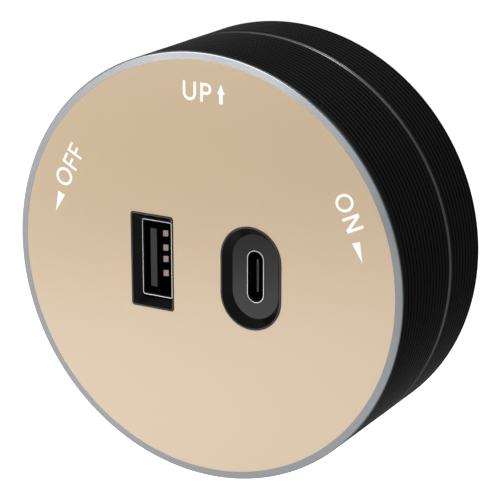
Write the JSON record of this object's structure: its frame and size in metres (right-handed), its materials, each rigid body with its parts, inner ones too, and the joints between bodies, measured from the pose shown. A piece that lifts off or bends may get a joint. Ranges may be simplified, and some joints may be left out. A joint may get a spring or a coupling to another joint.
{
  "type": "power track usb adapter",
  "caption": "Round USB charging adapter with a champagne face plate and ribbed black barrel that locks in a power track by a quarter turn.",
  "frame": {"origin": "centre of the rear face that bears on the track", "axes": "+Y points from the rear face into the track, the front face looks along -Y, +Z is the side marked up"},
  "size_m": [0.073, 0.0417, 0.073],
  "materials": {
    "gold_plate": "satin champagne gold anodising",
    "satin_trim": "fine bead-blasted silver",
    "black_barrel": "black anodised, turned ring grooves",
    "bright_seam": "bright turned bevel",
    "black_moulding": "fine matt moulding",
    "foot_moulding": "satin moulding",
    "socket_steel": "plated sheet steel",
    "socket_insulator": "moulded insulator",
    "contact_copper": "plated copper alloy",
    "track_brass": "rolled brass, lightly rubbed",
    "circuit_board": "green solder mask",
    "spacer_brass": "turned brass",
    "chip_black": "moulded package",
    "ferrite": "sintered ferrite",
    "winding_tape": "polyester tape",
    "can_sleeve": "shrunk sleeve",
    "disc_blue": "dipped coating",
    "fuse_body": "dipped coating",
    "washer_white": "low friction plastic",
    "spring_steel": "spring steel",
    "screw_steel": "zinc plated"
  },
  "bodies": {
    "base": {"rear_barrel": "black_barrel", "seam_ring": "bright_seam", "base_cup": "black_moulding", "thrust_washer": "washer_white", "detent_spring": "spring_steel", "base_screws": "screw_steel"},
    "head": {"face_plate": "gold_plate", "bezel_ring": "satin_trim", "front_barrel": "black_barrel", "front_carrier": "black_moulding", "usb_a_frame": "black_moulding", "usb_c_frame": "black_moulding", "inner_cup": "black_moulding", "foot_stem": "foot_moulding", "foot_cap": "foot_moulding", "usb_a_shell": "socket_steel", "usb_c_shell": "socket_steel", "usb_a_tongue": "socket_insulator", "usb_c_tongue": "socket_insulator", "usb_a_contacts": "contact_copper", "usb_c_contacts": "contact_copper", "live_lead": "track_brass", "neutral_lead": "track_brass", "earth_contact": "track_brass", "usb_board": "circuit_board", "main_board": "circuit_board", "board_spacers": "spacer_brass", "bridge_rectifier": "chip_black", "power_controller": "chip_black", "port_controllers": "chip_black", "board_header": "chip_black", "transformer_core": "ferrite", "choke": "ferrite", "port_inductors": "ferrite", "transformer_winding": "winding_tape", "input_capacitors": "can_sleeve", "output_capacitors": "can_sleeve", "safety_capacitor": "disc_blue", "fuse": "fuse_body", "live_spring": "spring_steel", "neutral_spring": "spring_steel", "carrier_screws": "screw_steel", "foot_screws": "screw_steel"},
    "live_contact": {"live_shoe": "track_brass"},
    "neutral_contact": {"neutral_shoe": "track_brass"}
  },
  "joints": [
    {"name": "twist", "type": "hinge", "parent": "base", "child": "head", "pos_m": [0, 0, 0], "axis": [0, 1, 0], "range_deg": [0, 90], "deforming": ["detent_spring"]},
    {"name": "live_press", "type": "slide", "parent": "head", "child": "live_contact", "axis": [-1, 0, 0], "range_m": [0, 0.0008], "stiffness_N_per_m": 400, "springref_m": -0.001, "deforming": ["live_spring"]},
    {"name": "neutral_press", "type": "slide", "parent": "head", "child": "neutral_contact", "axis": [1, 0, 0], "range_m": [0, 0.0008], "stiffness_N_per_m": 400, "springref_m": -0.001, "deforming": ["neutral_spring"]}
  ]
}
